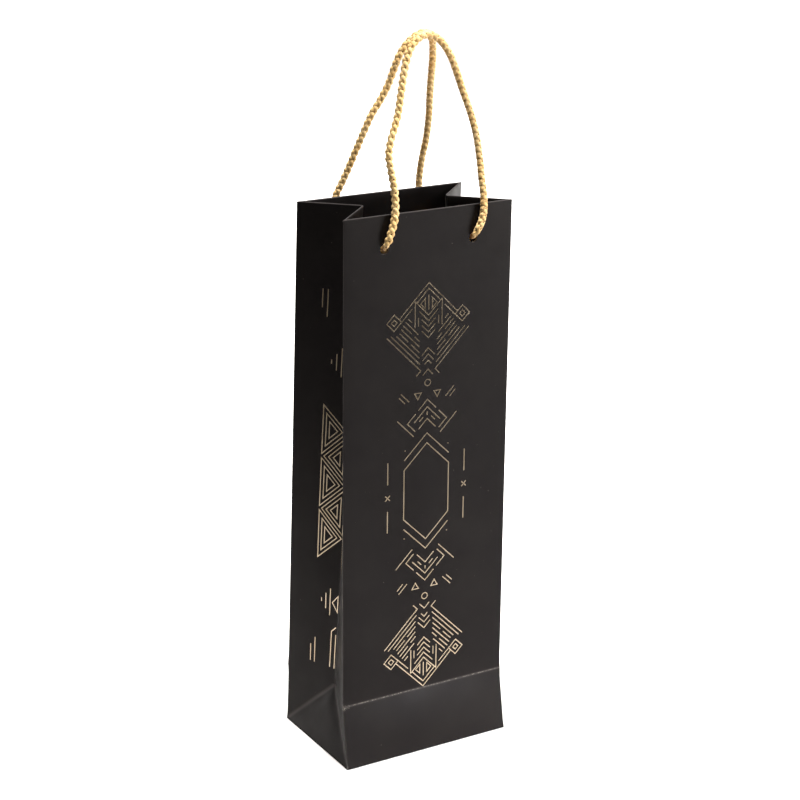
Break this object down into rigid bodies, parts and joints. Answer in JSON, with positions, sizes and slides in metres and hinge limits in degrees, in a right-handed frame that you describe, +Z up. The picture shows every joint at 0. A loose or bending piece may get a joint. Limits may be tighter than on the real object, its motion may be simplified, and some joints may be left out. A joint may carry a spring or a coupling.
{
  "type": "wine gift bag",
  "caption": "Tall open paper gift bag for one bottle, with pleated sides, folded base, turned top edge and two knotted cord handles.",
  "frame": {"origin": "centre of the base's underside", "axes": "+Z up, the front wall faces -Y, +X to the right seen from the front"},
  "size_m": [0.12, 0.0841, 0.4664],
  "materials": {
    "paper_outer": "matt laminated charcoal black",
    "paper_inner": "uncoated black",
    "board": "grey-brown board",
    "cord": "braided pale gold cord",
    "foil": "hot-stamped pale gold foil"
  },
  "bodies": {
    "back_wall": {"back_panel": "paper_outer", "back_hem": "paper_inner", "back_strip": "board", "seam_flap": "paper_inner", "back_left_knot": "cord", "back_right_knot": "cord", "left_gusset_rear": "paper_outer", "left_gusset_front": "paper_outer", "left_gusset_hem": "paper_inner", "left_gore": "paper_outer", "left_rear_corner": "paper_outer", "left_front_corner": "paper_outer", "right_gusset_rear": "paper_outer", "right_gusset_front": "paper_outer", "right_gusset_hem": "paper_inner", "right_gore": "paper_outer", "right_rear_corner": "paper_outer", "right_front_corner": "paper_outer"},
    "base": {"base_outer_flap": "paper_outer", "base_inner_flap": "paper_inner", "base_left_tuck": "paper_inner", "base_right_tuck": "paper_inner", "bottom_board": "board"},
    "band": {"front_band": "paper_outer"},
    "front_wall": {"front_panel": "paper_outer", "front_hem": "paper_inner", "front_strip": "board", "front_left_knot": "cord", "front_right_knot": "cord"},
    "front_handle": {"front_cord": "cord"},
    "back_handle": {"back_cord": "cord"}
  },
  "joints": [
    {"name": "bag_fold", "type": "hinge", "parent": "back_wall", "child": "base", "pos_m": [0, 0.04125, 0.0023], "axis": [-1, 0, 0], "range_deg": [0, 83.5], "deforming": ["left_gusset_rear", "left_gusset_front", "left_gusset_hem", "left_gore", "left_rear_corner", "left_front_corner", "right_gusset_rear", "right_gusset_front", "right_gusset_hem", "right_gore", "right_rear_corner", "right_front_corner", "front_left_knot", "front_right_knot", "back_left_knot", "back_right_knot", "front_cord", "back_cord"]},
    {"name": "band_fold", "type": "hinge", "parent": "base", "child": "band", "pos_m": [0, -0.04115, 0.0023], "axis": [-1, 0, 0], "range_deg": [0, 81]},
    {"name": "front_fold", "type": "hinge", "parent": "band", "child": "front_wall", "pos_m": [0, -0.0352, 0.04145], "axis": [1, 0, 0], "range_deg": [0, 170]},
    {"name": "front_handle_swing", "type": "hinge", "parent": "front_wall", "child": "front_handle", "pos_m": [0, -0.0389, 0.342], "axis": [1, 0, 0], "range_deg": [0, 150]},
    {"name": "back_handle_swing", "type": "hinge", "parent": "back_wall", "child": "back_handle", "pos_m": [0, 0.0262, 0.342], "axis": [-1, 0, 0], "range_deg": [0, 150]}
  ],
  "couplings": [
    {"joint": "band_fold", "follows": "bag_fold", "ratio": 0.958},
    {"joint": "front_fold", "follows": "bag_fold", "ratio": 2.026}
  ]
}
